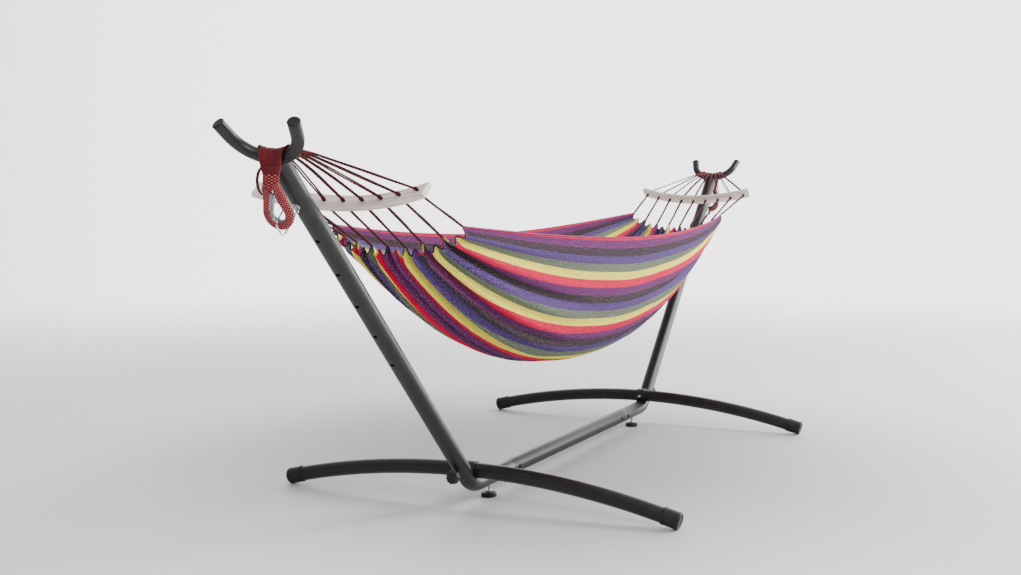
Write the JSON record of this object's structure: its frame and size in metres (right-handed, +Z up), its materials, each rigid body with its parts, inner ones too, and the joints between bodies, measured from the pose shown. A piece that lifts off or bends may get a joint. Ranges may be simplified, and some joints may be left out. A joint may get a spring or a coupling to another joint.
{
  "type": "hammock on stand",
  "caption": "Striped fabric hammock with bowed wooden spreader bars, hung by cords from the forked heads of a tubular steel stand with curved cross feet.",
  "frame": {"origin": "on the floor, midway between the feet, under the middle of the base tube", "axes": "+X along the hammock from end a to end b, +Y across it towards side l, +Z up"},
  "size_m": [3.0322, 1.0898, 0.9079],
  "materials": {
    "tube": "satin charcoal powder coat",
    "foot": "satin blue-black powder coat",
    "plastic": "moulded black",
    "chrome": "bright plated",
    "galvanised": "dull galvanised",
    "rope": "bound red cord",
    "cord": "dark maroon braided cord",
    "wood": "pale sanded",
    "cloth": "woven stripes"
  },
  "bodies": {
    "stand": {"base_tube": "tube", "upright_a": "tube", "fork_a": "tube", "foot_collar_a": "tube", "eye_bolt_a": "chrome", "rope_band_a": "rope", "rope_eye_a": "rope", "thimble_a": "galvanised", "snap_link_a": "chrome", "fork_cap_a_l": "plastic", "foot_tube_a_l": "foot", "foot_cap_a_l": "plastic", "fork_cap_a_r": "plastic", "foot_tube_a_r": "foot", "foot_cap_a_r": "plastic", "upright_b": "tube", "fork_b": "tube", "foot_collar_b": "tube", "eye_bolt_b": "chrome", "rope_band_b": "rope", "rope_eye_b": "rope", "thimble_b": "galvanised", "snap_link_b": "chrome", "fork_cap_b_l": "plastic", "foot_tube_b_l": "foot", "foot_cap_b_l": "plastic", "fork_cap_b_r": "plastic", "foot_tube_b_r": "foot", "foot_cap_b_r": "plastic"},
    "hammock": {"hammock_bed": "cloth", "spreader_bar_a": "wood", "cord_a1": "cord", "cord_a2": "cord", "cord_a3": "cord", "cord_a4": "cord", "cord_a5": "cord", "cord_a6": "cord", "cord_a7": "cord", "cord_a8": "cord", "cord_a9": "cord", "spreader_bar_b": "wood", "cord_b1": "cord", "cord_b2": "cord", "cord_b3": "cord", "cord_b4": "cord", "cord_b5": "cord", "cord_b6": "cord", "cord_b7": "cord", "cord_b8": "cord", "cord_b9": "cord"},
    "knob_a": {"knob_a": "plastic", "knob_bolt_a": "chrome"},
    "leveller_a": {"level_pad_a": "plastic", "level_stud_a": "chrome"},
    "gate_a": {"snap_gate_a": "chrome"},
    "knob_b": {"knob_b": "plastic", "knob_bolt_b": "chrome"},
    "leveller_b": {"level_pad_b": "plastic", "level_stud_b": "chrome"},
    "gate_b": {"snap_gate_b": "chrome"}
  },
  "joints": [
    {"name": "hammock_swing", "type": "hinge", "parent": "stand", "child": "hammock", "pos_m": [0, 0, 0.8465], "axis": [1, 0, 0], "range_deg": [-25, 25]},
    {"name": "knob_a_turn", "type": "hinge", "parent": "stand", "child": "knob_a", "pos_m": [-0.7185, 0, 0.089], "axis": [-1, 0, 0], "continuous": true},
    {"name": "leveller_a_turn", "type": "hinge", "parent": "stand", "child": "leveller_a", "pos_m": [-0.54, 0, 0], "axis": [0, 0, 1], "continuous": true},
    {"name": "gate_a_open", "type": "hinge", "parent": "stand", "child": "gate_a", "pos_m": [-1.43853, 0, 0.72255], "axis": [0, 1, 0], "range_deg": [0, 18], "stiffness_Nm_per_rad": 0.03, "springref_deg": -20.05},
    {"name": "knob_b_turn", "type": "hinge", "parent": "stand", "child": "knob_b", "pos_m": [0.7185, 0, 0.089], "axis": [1, 0, 0], "continuous": true},
    {"name": "leveller_b_turn", "type": "hinge", "parent": "stand", "child": "leveller_b", "pos_m": [0.54, 0, 0], "axis": [0, 0, 1], "continuous": true},
    {"name": "gate_b_open", "type": "hinge", "parent": "stand", "child": "gate_b", "pos_m": [1.43853, 0, 0.72255], "axis": [0, -1, 0], "range_deg": [0, 18], "stiffness_Nm_per_rad": 0.03, "springref_deg": -20.05}
  ]
}
